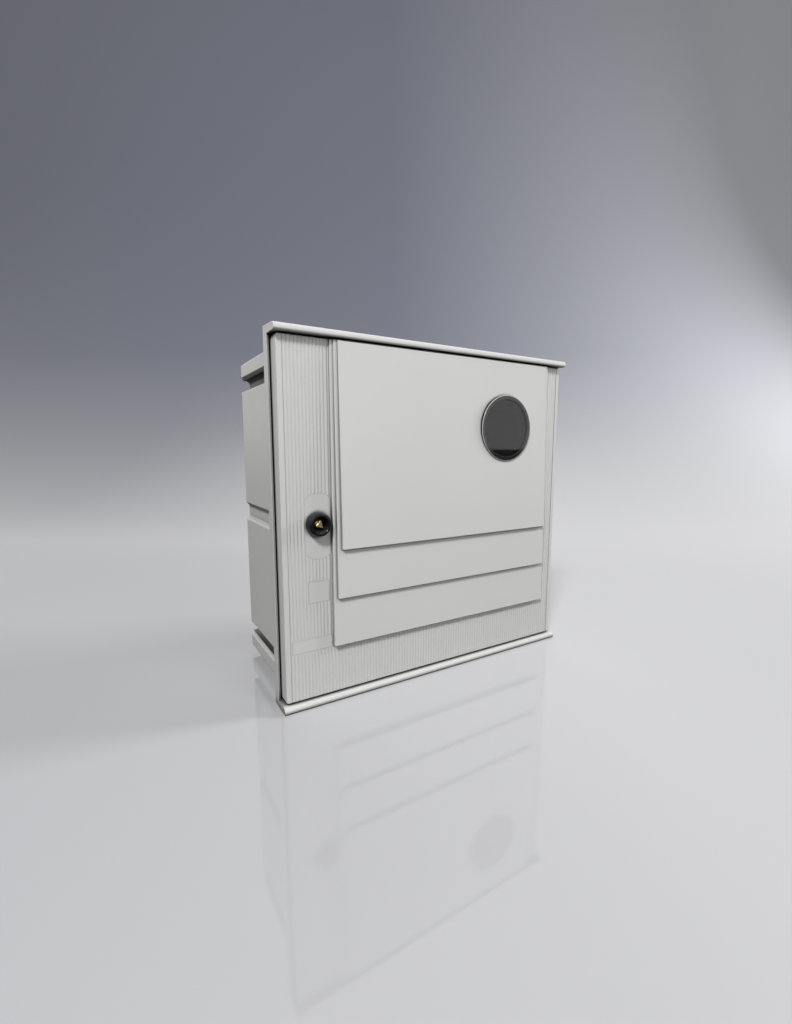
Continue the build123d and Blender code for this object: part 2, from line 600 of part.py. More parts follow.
def make_door_seal():
    """Rubber profile on the door's rib, just clear of the frame."""
    far = SEAL_MARGIN + 2 * SEAL_SIDE + SEAL_RIB_T
    body = seal_loop(SEAL_MARGIN, far, SEAL_RIB_BACK - SEAL_GRIP, POCKET_Y - SEAL_CLEAR)
    return body - seal_rib(SEAL_RIB_BACK - SEAL_GRIP - 1)


def make_hinge_pin(upper):
    """Pivot pin held in the door, with a collar in the gap."""
    edge = DOOR_TOP if upper else DOOR_LOW
    way = 1 if upper else -1
    tip = edge + way * (DOOR_END_GAP + PIN_IN_FRAME)
    root = edge - way * (PIN_IN_DOOR - PIN_END_PLAY)
    pin = upright(HINGE_X, HINGE_Y, min(tip, root), max(tip, root), PIN_R)
    ends = pin.edges().filter_by(GeomType.CIRCLE)
    pin = chamfer(ends, PIN_R * 0.15)
    rest = edge + way * (DOOR_END_GAP - PIN_COLLAR_PLAY)
    return pin + upright(HINGE_X, HINGE_Y, min(edge, rest), max(edge, rest), PIN_COLLAR_R)


def make_window_lens():
    """Clear lens: disc with a broad bevel and a round skirt behind it."""
    low = LENS_PROUD - LENS_T
    disc = turned([
        (0, low), (LENS_R, low), (LENS_R, LENS_PROUD - LENS_BEVEL_H), (LENS_R - LENS_BEVEL_W, LENS_PROUD),
        (0, LENS_PROUD)])
    skirt = ring(LENS_SKIRT_R, LENS_SKIRT_R - LENS_SKIRT_T, WINDOW_BACK, low + 0.5)
    return window_place() * (disc + skirt)


def make_window_seal():
    """Flat rubber ring between the lens and its seat in the door."""
    return window_place() * ring(LENS_R, LENS_SKIRT_R + LENS_FIT, LENS_SEAT, LENS_SEAT + WINDOW_SEAL_T)


def make_clip_ring():
    """Ring that holds the lens from behind."""
    low = WINDOW_BACK - CLIP_RING_T
    body = ring(CLIP_RING_OUT, CLIP_RING_IN, low, WINDOW_BACK)
    for x, y in window_screw_spots():
        body -= Pos(x, y, low - 1) * Cylinder(
            SCREW_R + 4 * SCREW_FIT, CLIP_RING_T + 2, align=LOW_ALIGN)
    return window_place() * body


def make_ring_screws():
    """Four screws that hold the clip ring, their heads towards the inside."""
    seat = WINDOW_BACK - CLIP_RING_T
    length = CLIP_RING_T + WINDOW_COLLAR_H - 1
    screws = []
    for x, y in window_screw_spots():
        screws.append(window_place() * Pos(x, y, seat) * Rot(180, 0, 0) * pan_screw(length))
    return Compound(children=screws)


def make_lock_barrel():
    """Lock body: domed head with a well for the key, tube for the nut, bored tail."""
    foot = LOCK_SEAL_T
    face = foot + LOCK_HEAD_T
    shoulder = foot + LOCK_FOOT_H
    rear = DOOR_BASE - CAM_FRONT + 0.1
    nut_end = -DOOR_WALL - LOCK_NUT_T - 1
    bore = SPINDLE_R + SPINDLE_FIT
    profile = [
        (bore, rear), (LOCK_TAIL_R, rear), (LOCK_TAIL_R, nut_end), (LOCK_TUBE_R, nut_end), (LOCK_TUBE_R, foot),
        (LOCK_HEAD_R, foot)]
    steps = 8
    for step in range(steps + 1):
        turn = math.pi / 2 * step / steps
        profile.append((
            LOCK_RIM_R + (LOCK_HEAD_R - LOCK_RIM_R) * math.cos(turn),
            shoulder + (face - shoulder) * math.sin(turn)))
    profile += [
        (LOCK_WELL_R + 0.6, face), (LOCK_WELL_R, face - 0.6), (LOCK_WELL_FLOOR_R, face - LOCK_WELL_D),
        (bore, face - LOCK_WELL_D)]
    return facing(LOCK_X, DOOR_BASE, LOCK_Z) * turned(profile)


def make_lock_seal():
    """Flat rubber washer under the lock's head."""
    body = ring(LOCK_HEAD_R - 1.0, LOCK_TUBE_R + LOCK_HOLE_FIT, 0, LOCK_SEAL_T)
    return facing(LOCK_X, DOOR_BASE, LOCK_Z) * body


def make_lock_nut():
    """Hexagon nut on the lock's tube, behind the door's wall."""
    hexagon = RegularPolygon(LOCK_NUT_AF / 2, 6, major_radius=False, rotation=30) - Circle(LOCK_TUBE_R + SCREW_FIT)
    body = Pos(0, 0, -DOOR_WALL - LOCK_NUT_T) * extrude(hexagon, LOCK_NUT_T)
    return facing(LOCK_X, DOOR_BASE, LOCK_Z) * body


def make_lock_spindle():
    """Turning core: triangle for the key, round shaft and square end for the cam."""
    face = LOCK_SEAL_T + LOCK_HEAD_T
    floor = face - LOCK_WELL_D + 0.1
    tail = DOOR_BASE - CAM_FRONT
    triangle = Rot(0, 0, KEY_TRI_TURN) * RegularPolygon(KEY_TRI_R, 3)
    core = Pos(0, 0, floor) * extrude(fillet(triangle.vertices(), 0.9), face - KEY_TRI_SUNK - floor)
    core = chamfer(core.edges().group_by(Axis.Z)[-1], KEY_TRI_CHAMFER)
    core += Pos(0, 0, tail) * Cylinder(SPINDLE_R, floor - tail + 0.5, align=LOW_ALIGN)
    core += Pos(0, 0, tail - CAM_T) * extrude(Rectangle(SPINDLE_SQUARE, SPINDLE_SQUARE), CAM_T + 1)
    core -= Pos(0, 0, tail - CAM_T - 1) * Cylinder(SCREW_R + SCREW_FIT, CAM_SCREW_BITE + 3, align=LOW_ALIGN)
    return facing(LOCK_X, DOOR_BASE, LOCK_Z) * core


def make_lock_cam():
    """Steel tongue on the spindle's square; it hangs down when the lock is open."""
    reach = CAM_REACH - CAM_HALF_W
    outline = Rectangle(2 * CAM_HALF_W, reach, align=(Align.CENTER, Align.MAX))
    outline += Circle(CAM_HALF_W + 2.0) + Pos(0, -reach) * Circle(CAM_HALF_W)
    outline -= Rectangle(SPINDLE_SQUARE + 2 * SQUARE_FIT, SPINDLE_SQUARE + 2 * SQUARE_FIT)
    tail = DOOR_BASE - CAM_FRONT
    return facing(LOCK_X, DOOR_BASE, LOCK_Z) * Pos(0, 0, tail - CAM_T) * extrude(outline, CAM_T)


def make_cam_screw():
    """Screw with a wide head that holds the cam on its square."""
    tail = DOOR_BASE - CAM_FRONT
    seat = tail - CAM_T - CAM_WASHER_T
    washer = ring(CAM_HALF_W, SCREW_R * 0.5, seat, tail - CAM_T)
    screw = Pos(0, 0, seat) * Rot(180, 0, 0) * pan_screw(CAM_WASHER_T + CAM_SCREW_BITE)
    return facing(LOCK_X, DOOR_BASE, LOCK_Z) * (washer + screw)


def make_keeper():
    """Steel keeper behind the frame's left side."""
    body = block(
        KEEPER_X0, KEEPER_X1, MOUTH_Y, KEEPER_BACK, LOCK_Z - KEEPER_BELOW, LOCK_Z + KEEPER_ABOVE)
    body = fillet(body.edges().filter_by(Axis.Y), 2.0)
    for x, z in KEEPER_SCREWS:
        body -= rod(x, z, KEEPER_BACK + 1, MOUTH_Y - 1, SCREW_R + SCREW_FIT)
    return body


def make_mounting_plate():
    """Flat insulating board on the pillars."""
    sheet = fillet(Rectangle(PLATE_W, PLATE_H).vertices(), PLATE_R)
    for x, z in PILLARS:
        sheet -= Pos(x, z) * Circle(SCREW_R + 4 * SCREW_FIT)
    for x in (-RAIL_SCREW_PITCH / 2, RAIL_SCREW_PITCH / 2):
        sheet -= Pos(x, WINDOW_Z) * Circle(SCREW_R + SCREW_FIT)
    return Pos(0, PLATE_BACK, 0) * extrude(Plane.XZ * sheet, PLATE_T)


def make_plate_screws():
    """Four screws of the mounting plate."""
    return Compound(children=[facing(x, PLATE_FRONT, z) * pan_screw(PLATE_T + PLATE_SCREW_BITE) for x, z in PILLARS])


def make_din_rail():
    """Top-hat rail level with the window."""
    half = RAIL_W / 2
    foot = RAIL_FLOOR_W / 2
    points = [
        (PLATE_FRONT, -foot), (PLATE_FRONT - RAIL_D + RAIL_T, -foot), (PLATE_FRONT - RAIL_D + RAIL_T, -half),
        (PLATE_FRONT - RAIL_D, -half), (PLATE_FRONT - RAIL_D, -foot + RAIL_T), (PLATE_FRONT - RAIL_T, -foot + RAIL_T)]
    points += [(y, -z) for y, z in reversed(points)]
    rail = Pos(0, 0, WINDOW_Z) * side_section(points, RAIL_L / 2)
    for x in (-RAIL_SCREW_PITCH / 2, RAIL_SCREW_PITCH / 2):
        rail -= rod(x, WINDOW_Z, PLATE_FRONT + 1, PLATE_FRONT - RAIL_T - 1, SCREW_R + 4 * SCREW_FIT)
    return rail


def make_rail_screws():
    """Two screws of the rail."""
    spots = (-RAIL_SCREW_PITCH / 2, RAIL_SCREW_PITCH / 2)
    seat = PLATE_FRONT - RAIL_T
    return Compound(children=[facing(x, seat, WINDOW_Z) * pan_screw(RAIL_T + PLATE_T + RAIL_SCREW_BITE) for x in spots])


def make_grommets():
    """Rubber grommets in the cable entries."""
    low = -BOX_H / 2
    neck = ENTRY_HOLE_R - GROMMET_FIT
    lip = GROMMET_LIP_T
    profile = [
        (GROMMET_BORE_R, -lip), (GROMMET_LIP_R - 1, -lip), (GROMMET_LIP_R, -lip + 1), (GROMMET_LIP_R, 0),
        (neck, 0), (neck, BOX_WALL), (neck + 2.4, BOX_WALL), (neck - 1, BOX_WALL + lip),
        (GROMMET_BORE_R, BOX_WALL + lip)]
    return Compound(children=[Pos(x, ENTRY_Y, low) * turned(profile) for x in ENTRY_XS])


def make_frame_screws():
    """Four screws that hold the frame on the box."""
    return Compound(children=[sunk_screw(x, z, POCKET_Y, FRAME_SCREW_L) for x, z in FRAME_SCREWS])


def make_keeper_screws():
    """Two screws of the keeper."""
    length = FRAME_WALL + KEEPER_T
    return Compound(children=[sunk_screw(x, z, POCKET_Y, length) for x, z in KEEPER_SCREWS])


PARTS = {
    "back_box": make_back_box,
    "front_frame": make_front_frame,
    "frame_screws": make_frame_screws,
    "keeper_plate": make_keeper,
    "keeper_screws": make_keeper_screws,
    "mounting_plate": make_mounting_plate,
    "mounting_screws": make_plate_screws,
    "din_rail": make_din_rail,
    "din_rail_screws": make_rail_screws,
    "cable_grommets": make_grommets,
    "door_panel": make_door_panel,
    "door_seal": make_door_seal,
    "hinge_pin_upper": lambda: make_hinge_pin(True),
    "hinge_pin_lower": lambda: make_hinge_pin(False),
    "window_lens": make_window_lens,
    "window_seal": make_window_seal,
    "window_clip_ring": make_clip_ring,
    "window_ring_screws": make_ring_screws,
    "lock_barrel": make_lock_barrel,
    "lock_seal": make_lock_seal,
    "lock_nut": make_lock_nut,
    "lock_spindle": make_lock_spindle,
    "lock_cam": make_lock_cam,
    "lock_cam_screw": make_cam_screw,
}

for node, make in PARTS.items():
    export_step(make(), f"parts/{node}.step")
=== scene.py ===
import math

import bpy
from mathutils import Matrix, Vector


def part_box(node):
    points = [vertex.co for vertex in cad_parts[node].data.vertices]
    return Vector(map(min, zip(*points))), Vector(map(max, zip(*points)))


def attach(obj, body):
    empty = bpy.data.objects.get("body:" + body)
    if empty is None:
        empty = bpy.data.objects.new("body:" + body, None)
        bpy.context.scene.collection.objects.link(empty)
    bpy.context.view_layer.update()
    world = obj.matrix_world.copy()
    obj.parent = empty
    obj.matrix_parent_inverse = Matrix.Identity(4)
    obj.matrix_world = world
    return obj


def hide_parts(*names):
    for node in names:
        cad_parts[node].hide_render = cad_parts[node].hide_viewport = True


# The camera, in metres and degrees, in the part's frame: +Z up, the front faces -Y
CAMERA_PLACE = (-0.4397, -0.8146, 0.1020)
CAMERA_YAW = 31.25          # to the right of straight ahead
CAMERA_PITCH = 7.54         # below the horizon
CAMERA_LENS = 16.63         # millimetres on the 36 mm film
CAMERA_REACH = 100.0

# The lamps: the direction from the origin to each, its distance and the side of its square in metres,
# its power in watts, and whether reflections show it
LAMPS = {
    "key_lamp": dict(direction=(-0.52, -0.50, 0.69), distance=6.0, size=1.0, power=318.0, mirrored=True),
    "side_lamp": dict(direction=(0.94, -0.27, 0.36), distance=5.0, size=1.3, power=180.0, mirrored=False),
    "front_lamp": dict(direction=(0.3, -0.9, 0.3), distance=7.0, size=2.5, power=108.0, mirrored=False),
    "back_lamp": dict(direction=(0.45, 0.75, 0.5), distance=2.4, size=1.6, power=8.0, mirrored=False),
}

# The sheet under the part, in metres: level, then bent up into a backdrop
FLOOR_Z = -0.2511
FLOOR_REACH = 14.0
BACKDROP_FROM = 0.9
BACKDROP_BEND = 3.2
BACKDROP_TOP = 7.0
BACKDROP_STEPS = 24

# The sheet's colours, and the stretches over which they change, measured rightwards or upwards. The floor's
# left and right colours are painted shade; the backdrop's is its own bluish grey, painted dark on the left
# and light on the right as painted light.
FLOOR_CLOUDS = ((0.505, 0.505, 0.52), (0.525, 0.525, 0.54))
FLOOR_LEFT_PAINTED_SHADE = (0.29, 0.295, 0.325)
FLOOR_LEFT_SHADE_SPAN = (-1.7, 0.35)
FLOOR_RIGHT_PAINTED_SHADE = (0.41, 0.41, 0.425)
FLOOR_RIGHT_SHADE_SPAN = (0.4, 2.4)
BACKDROP_TINT_PAINTED_SHADE_LEFT = (0.175, 0.185, 0.245)
BACKDROP_TINT_PAINTED_LIGHT_RIGHT = (0.44, 0.445, 0.485)
BACKDROP_PAINTED_LIGHT_SPAN = (0.0, 3.4)
BACKDROP_RISE = 1.2
FLOOR_UNSEEN = (0.06, 0.06, 0.062)      # for rays that carry the sheet's light onto the part

# The sky's strength below and above the horizon, and the grey that the camera sees beyond the sheet
SOFT_SKY = (0.02, 0.13)
MIRRORED_SKY = (0.1, 0.85)
HORIZON_BLEND = 0.002
BEYOND_GREY = (0.4, 0.405, 0.43)

# The window's lens, in metres
LENS_T = 0.0048
LENS_SUNK = 0.0003          # the clear disc below the rim's face
LENS_RIM_W = 0.0066
LENS_EDGE_R = 0.0011
LENS_SKIRT_INSET = 0.0044
LENS_SKIRT_T = 0.0036
LENS_TURNS = 128            # faces round the lens
LENS_EDGE_STEPS = 6         # faces over its rounded edge

# Marks on moulded plastic: tones as shares of its own colour, and the height that grime reaches. The valley
# and groove tones are painted shade, for the shade between reeds and in channels, gaps and recesses.
CLOUD_TONES = (0.985, 1.015)
FLOW_TONE = 0.99
GRIME_TONE = 0.72
VALLEY_PAINTED_SHADE_TONE = 0.6
GROOVE_PAINTED_SHADE_TONE = 0.08
GRIME_TOP = 0.06
DUST = (0.6, 0.585, 0.55)

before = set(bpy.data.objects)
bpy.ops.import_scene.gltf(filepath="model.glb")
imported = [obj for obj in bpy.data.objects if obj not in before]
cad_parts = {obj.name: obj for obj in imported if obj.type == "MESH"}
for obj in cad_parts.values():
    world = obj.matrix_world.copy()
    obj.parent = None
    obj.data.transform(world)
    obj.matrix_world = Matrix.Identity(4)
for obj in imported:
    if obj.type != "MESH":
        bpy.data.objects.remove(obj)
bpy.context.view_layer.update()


class Shader:
    """A material built from nodes, with short calls for what every finish here needs."""

    def __init__(self, name, **sockets):
        self.material = bpy.data.materials.new(name)
        self.material.use_nodes = True
        self.tree = self.material.node_tree
        self.tree.nodes.clear()
        self.surface = self.add("ShaderNodeBsdfPrincipled")
        output = self.add("ShaderNodeOutputMaterial")
        self.link(self.surface.outputs["BSDF"], output.inputs["Surface"])
        self.place = self.add("ShaderNodeTexCoord").outputs["Object"]
        for key, value in sockets.items():
            self.surface.inputs[key.replace("_", " ")].default_value = value

    def add(self, kind, **values):
        """A new node; the values go to its inputs, or to its settings where it has no such input."""
        node = self.tree.nodes.new(kind)
        for key, value in values.items():
            label = key.replace("_", " ")
            if label in node.inputs:
                node.inputs[label].default_value = value
            else:
                setattr(node, key, value)
        return node

    def link(self, source, target):
        self.tree.links.new(source, target)

    def stretched(self, stretch):
        """Object coordinates, scaled along each axis, so that noise runs along the least scaled one."""
        mapping = self.add("ShaderNodeMapping")
        mapping.inputs["Scale"].default_value = stretch
        self.link(self.place, mapping.inputs["Vector"])
        return mapping.outputs["Vector"]

    def noise(self, size, detail=3.0, rough=0.5, stretch=None):
        """Cloudy noise from 0 to 1 whose patches are about this size, in metres."""
        node = self.add("ShaderNodeTexNoise", Scale=1.0 / size, Detail=detail, Roughness=rough)
        self.link(self.stretched(stretch) if stretch else self.place, node.inputs["Vector"])
        return node.outputs["Fac"]

    def ramp(self, source, low, high, to_low=0.0, to_high=1.0):
        """Maps a range of one value onto another, clamped at both ends."""
        node = self.add("ShaderNodeMapRange")
        for label, value in (("From Min", low), ("From Max", high), ("To Min", to_low), ("To Max", to_high)):
            node.inputs[label].default_value = value
        self.link(source, node.inputs["Value"])
        return node.outputs["Result"]

    def mix(self, factor, first, second):
        """Mixes two colours, each a colour or a socket, by a socket's value."""
        node = self.add("ShaderNodeMix", data_type="RGBA")
        self.link(factor, node.inputs["Factor"])
        for label, colour in (("A", first), ("B", second)):
            slot = [s for s in node.inputs if s.name == label and s.type == "RGBA"][0]
            if isinstance(colour, bpy.types.NodeSocket):
                self.link(colour, slot)
            else:
                slot.default_value = (*colour, 1.0)
        return [s for s in node.outputs if s.type == "RGBA"][0]

    def multiply(self, first, second):
        node = self.add("ShaderNodeMath", operation="MULTIPLY")
        self.link(first, node.inputs[0])
        self.link(second, node.inputs[1])
        return node.outputs["Value"]

    def facing_up(self):
        """How far a surface looks upwards, from 0 for upright or overhanging to 1 for level."""
        normal = self.add("ShaderNodeNewGeometry").outputs["Normal"]
        parts = self.add("ShaderNodeSeparateXYZ")
        self.link(normal, parts.inputs["Vector"])
        return self.ramp(parts.outputs["Z"], low=0.15, high=0.95)

    def openness(self, reach, shut, free, alone=False):
        """From 0 deep in recesses of about this reach to 1 on open faces, the mask for painted shade; alone
        leaves out other pieces.
        """
        node = self.add("ShaderNodeAmbientOcclusion", Distance=reach, samples=8, only_local=alone)
        return self.ramp(node.outputs["AO"], shut, free)

    def along(self, direction, low, high):
        """From 0 at the low distance along a direction to 1 at the high one."""
        node = self.add("ShaderNodeVectorMath", operation="DOT_PRODUCT")
        self.link(self.place, node.inputs[0])
        node.inputs[1].default_value = direction
        return self.ramp(node.outputs["Value"], low, high)

    def seen(self):
        """1 for rays that look at the surface straight, in a mirror or through glass, else 0."""
        path = self.add("ShaderNodeLightPath")
        total = path.outputs["Is Camera Ray"]
        for label in ("Is Glossy Ray", "Is Transmission Ray"):
            node = self.add("ShaderNodeMath", operation="MAXIMUM")
            self.link(total, node.inputs[0])
            self.link(path.outputs[label], node.inputs[1])
            total = node.outputs["Value"]
        return total

    def colour(self, socket):
        self.link(socket, self.surface.inputs["Base Color"])

    def roughness(self, socket):
        self.link(socket, self.surface.inputs["Roughness"])

    def bump(self, layers):
        """Adds one bump on another; each layer is (height socket, depth in metres, strength)."""
        normal = None
        for source, depth, strength in layers:
            node = self.add("ShaderNodeBump", Strength=strength, Distance=depth)
            self.link(source, node.inputs["Height"])
            if normal:
                self.link(normal, node.inputs["Normal"])
            normal = node.outputs["Normal"]
        self.link(normal, self.surface.inputs["Normal"])


def tone(colour, factor):
    """A colour made lighter or darker."""
    return tuple(min(channel * factor, 1.0) for channel in colour)


def moulded_plastic(name, colour, rough, shaded_grooves, shaded_valleys=None):
    """Satin moulded plastic: faint clouds and flow marks, dust on top, grime low down, fine grain.

    Painted shade: the colour is darkened by ambient occlusion in channels, gaps and recesses, and between
    reeds; each argument for this gives the reach and the range of openness over which it darkens.
    """
    shader = Shader(name, Specular_IOR_Level=0.45)
    cloud = shader.ramp(shader.noise(0.16, detail=4.0), 0.3, 0.7)
    flow = shader.ramp(shader.noise(0.03, rough=0.6, stretch=(1.0, 1.0, 0.15)), 0.35, 0.65)
    base = shader.mix(cloud, *(tone(colour, factor) for factor in CLOUD_TONES))
    base = shader.mix(shader.ramp(flow, 0.0, 1.0, to_high=0.35), base, tone(colour, FLOW_TONE))
    level = shader.facing_up()
    dust = shader.ramp(shader.noise(0.02, detail=5.0, rough=0.7), 0.35, 0.75, to_high=0.25)
    base = shader.mix(shader.multiply(level, dust), base, DUST)
    speck = shader.ramp(shader.noise(0.0022, detail=2.0), 0.7, 0.74, to_high=0.5)
    low = shader.along((0, 0, -1), -FLOOR_Z - GRIME_TOP, -FLOOR_Z)
    grime = shader.multiply(shader.multiply(speck, low), shader.ramp(shader.noise(0.05), 0.5, 0.7))
    base = shader.mix(grime, base, tone(colour, GRIME_TONE))
    # Painted shade: the colour darkens between reeds and in channels, gaps and recesses.
    if shaded_valleys:
        base = shader.mix(shader.openness(**shaded_valleys), tone(colour, VALLEY_PAINTED_SHADE_TONE), base)
    shader.colour(shader.mix(shader.openness(**shaded_grooves), tone(colour, GROOVE_PAINTED_SHADE_TONE), base))
    scuff = shader.noise(0.012, detail=6.0, rough=0.7)
    shader.roughness(shader.ramp(scuff, 0.4, 0.7, rough - 0.04, rough + 0.07))
    grain = shader.noise(0.00045, detail=2.0)
    wave = shader.noise(0.09, detail=2.0, rough=0.4)
    shader.bump([(grain, 0.00003, 0.5), (wave, 0.0001, 0.2)])
    return shader.material


def rubber(name, colour):
    """Matt black rubber with a fine skin and a little bloom."""
    shader = Shader(name, Specular_IOR_Level=0.3)
    bloom = shader.ramp(shader.noise(0.015, detail=5.0, rough=0.65), 0.4, 0.75, to_high=0.6)
    shader.colour(shader.mix(bloom, colour, tone(colour, 2.2)))
    shader.roughness(shader.ramp(shader.noise(0.004, detail=4.0), 0.3, 0.7, 0.62, 0.85))
    shader.bump([(shader.noise(0.0006, rough=0.6), 0.00006, 0.6)])
    return shader.material


def metal(name, colour, rough, stain, run):
    """Plated or turned metal: streaks along one axis, stains and small dents."""
    shader = Shader(name, Metallic=1.0)
    streak = shader.noise(0.0012, detail=4.0, rough=0.6, stretch=run)
    patch = shader.ramp(shader.noise(0.006, detail=5.0, rough=0.65), 0.45, 0.75)
    base = shader.mix(shader.ramp(streak, 0.3, 0.7), tone(colour, 0.88), tone(colour, 1.08))
    shader.colour(shader.mix(shader.ramp(patch, 0.0, 1.0, to_high=0.7), base, stain))
    shader.roughness(shader.ramp(streak, 0.25, 0.75, rough - 0.06, rough + 0.12))
    shader.bump([(streak, 0.00002, 0.5), (shader.noise(0.003, detail=4.0), 0.00005, 0.3)])
    return shader.material


def glossy_black(name, colour, dust_colour):
    """Hard black plastic with handling scratches and a little dust."""
    shader = Shader(name, Specular_IOR_Level=0.2)
    scratch = shader.noise(0.0009, detail=5.0, rough=0.7, stretch=(0.2, 1.0, 1.4))
    scratch = shader.ramp(scratch, 0.52, 0.66)
    level = shader.facing_up()
    dust = shader.ramp(shader.noise(0.003, detail=5.0, rough=0.7), 0.4, 0.7, to_high=0.5)
    dust = shader.multiply(level, dust)
    base = shader.mix(scratch, colour, tone(colour, 1.7))
    shader.colour(shader.mix(dust, base, dust_colour))
    shader.roughness(shader.ramp(scratch, 0.0, 1.0, 0.1, 0.28))
    shader.bump([(shader.noise(0.0007), 0.00003, 0.35)])
    return shader.material


def smoked_lens(name, colour, speck_colour):
    """Clear smoked plastic with faint wipe marks and dust specks."""
    shader = Shader(name, IOR=1.56, Transmission_Weight=1.0, Specular_IOR_Level=0.7)
    haze = shader.noise(0.02, detail=4.0, rough=0.6, stretch=(1.0, 1.0, 0.4))
    haze = shader.ramp(haze, 0.45, 0.75)
    speck = shader.ramp(shader.noise(0.0016, detail=2.0), 0.74, 0.78, to_high=0.35)
    shader.colour(shader.mix(speck, colour, speck_colour))
    shader.roughness(shader.ramp(haze, 0.0, 1.0, to_high=0.02))
    shader.bump([(shader.noise(0.05, detail=2.0), 0.00002, 0.1)])
    return shader.material


def ground_lens(name, colour, gloss):
    """The lens's rim, edge or wall: one solid colour with fine turning marks, as glossy as gloss says."""
    shader = Shader(name, IOR=1.7, Specular_IOR_Level=gloss)
    haze = shader.ramp(shader.noise(0.006, detail=4.0, rough=0.6), 0.35, 0.7)
    shader.colour(shader.mix(haze, colour, tone(colour, 1.15)))
    shader.roughness(shader.ramp(haze, 0.0, 1.0, 0.02, 0.05))
    shader.bump([(shader.noise(0.0005, detail=2.0), 0.00002, 0.3)])
    return shader.material


def pressed_board(name, colour):
    """Insulating pressed board with fibres and faint clouds."""
    shader = Shader(name, Specular_IOR_Level=0.4)
    fibre = shader.noise(0.0035, detail=5.0, rough=0.7, stretch=(1.0, 1.0, 0.25))
    fibre = shader.ramp(fibre, 0.35, 0.7)
    cloud = shader.ramp(shader.noise(0.07), 0.3, 0.7)
    base = shader.mix(fibre, tone(colour, 0.9), tone(colour, 1.06))
    shader.colour(shader.mix(shader.ramp(cloud, 0.0, 1.0, to_high=0.4), base, tone(colour, 0.94)))
    shader.roughness(shader.ramp(fibre, 0.0, 1.0, 0.42, 0.6))
    shader.bump([(shader.noise(0.0012), 0.00005, 0.4)])
    return shader.material


# Painted shade: each finish below darkens its colour in channels, gaps and recesses, and the door's also
# between its reeds.
SHELL = moulded_plastic(
    "grey_shell", (0.565, 0.565, 0.55), rough=0.42,
    shaded_grooves=dict(reach=0.03, shut=0.42, free=0.8))
BOX = moulded_plastic(
    "grey_box", (0.575, 0.575, 0.56), rough=0.42,
    shaded_grooves=dict(reach=0.045, shut=0.66, free=0.9, alone=True))
DOOR = moulded_plastic(
    "grey_door", (0.59, 0.59, 0.575), rough=0.38,
    shaded_grooves=dict(reach=0.03, shut=0.25, free=0.68), shaded_valleys=dict(reach=0.004, shut=0.7, free=0.97))
RING = moulded_plastic(
    "dark_ring", (0.07, 0.07, 0.07), rough=0.45,
    shaded_grooves=dict(reach=0.02, shut=0.3, free=0.6))
RUBBER = rubber("black_rubber", (0.018, 0.018, 0.018))
BLACK = glossy_black("lock_black", (0.008, 0.008, 0.01), dust_colour=(0.14, 0.135, 0.13))
BRASS = metal("worn_brass", (0.88, 0.75, 0.36), rough=0.3, stain=(0.4, 0.3, 0.1), run=(1.0, 1.0, 0.1))
STEEL = metal("zinc_steel", (0.62, 0.62, 0.61), rough=0.32, stain=(0.4, 0.39, 0.36), run=(0.08, 1.0, 1.0))
BOARD = pressed_board("pressed_board", (0.5, 0.46, 0.38))
LENS = smoked_lens("smoked_lens", (0.42, 0.42, 0.42), speck_colour=(0.5, 0.5, 0.48))
LENS_RIM = ground_lens("lens_rim", (0.008, 0.008, 0.008), gloss=0.62)
# Painted highlight: the lens's rounded edge is painted light grey.
LENS_EDGE_PAINTED_HIGHLIGHT = ground_lens("lens_edge_painted_highlight", (0.38, 0.38, 0.38), gloss=0.5)
# Painted shade: the lens's wall is painted near-black.
LENS_WALL_PAINTED_SHADE = ground_lens("lens_wall_painted_shade", (0.008, 0.008, 0.008), gloss=0.1)

FINISHES = {
    SHELL: ("front_frame",),
    BOX: ("back_box",),
    DOOR: ("door_panel",),
    RING: ("window_clip_ring",),
    RUBBER: ("door_seal", "window_seal", "lock_seal", "cable_grommets"),
    BLACK: ("lock_barrel", "lock_nut"),
    BRASS: ("lock_spindle",),
    STEEL: (
        "frame_screws", "keeper_plate", "keeper_screws", "mounting_screws", "din_rail", "din_rail_screws",
        "hinge_pin_upper", "hinge_pin_lower", "window_ring_screws", "lock_cam", "lock_cam_screw"),
    BOARD: ("mounting_plate",),
}


def dress(node, material):
    """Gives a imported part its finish."""
    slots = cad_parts[node].data.materials
    slots.clear()
    slots.append(material)


def mesh_object(name, vertices, faces, material):
    """A new object from plain vertices and faces."""
    mesh = bpy.data.meshes.new(name)
    mesh.from_pydata(vertices, [], faces)
    mesh.materials.append(material)
    item = bpy.data.objects.new(name, mesh)
    bpy.context.collection.objects.link(item)
    return item


def turned_object(name, centre, profile, materials, flat):
    """A body turned about the Y axis through the centre.

    The profile runs from the middle of the front to the middle of the back as
    (radius, depth behind the centre, index of the material of the face that follows).
    Faces of the materials with an index in flat keep their own shading.
    """
    turns = LENS_TURNS
    x, y, z = centre
    vertices = [(x, y + profile[0][1], z)]
    for radius, depth, _ in profile[1:-1]:
        for step in range(turns):
            angle = 2 * math.pi * step / turns
            vertices.append((x + radius * math.cos(angle), y + depth, z + radius * math.sin(angle)))
    vertices.append((x, y + profile[-1][1], z))
    rows = len(profile) - 3
    last_ring = 1 + rows * turns
    faces = []
    indices = []
    for step in range(turns):
        following = (step + 1) % turns
        faces.append((0, 1 + step, 1 + following))
        indices.append(profile[0][2])
        for row in range(rows):
            first = 1 + row * turns
            second = first + turns
            faces.append((first + step, second + step, second + following, first + following))
            indices.append(profile[row + 1][2])
        faces.append((last_ring + step, len(vertices) - 1, last_ring + following))
        indices.append(profile[-2][2])
    item = mesh_object(name, vertices, faces, materials[0])
    for material in materials[1:]:
        item.data.materials.append(material)
    for face, index in zip(item.data.polygons, indices):
        face.material_index = index
        face.use_smooth = index not in flat
    return item


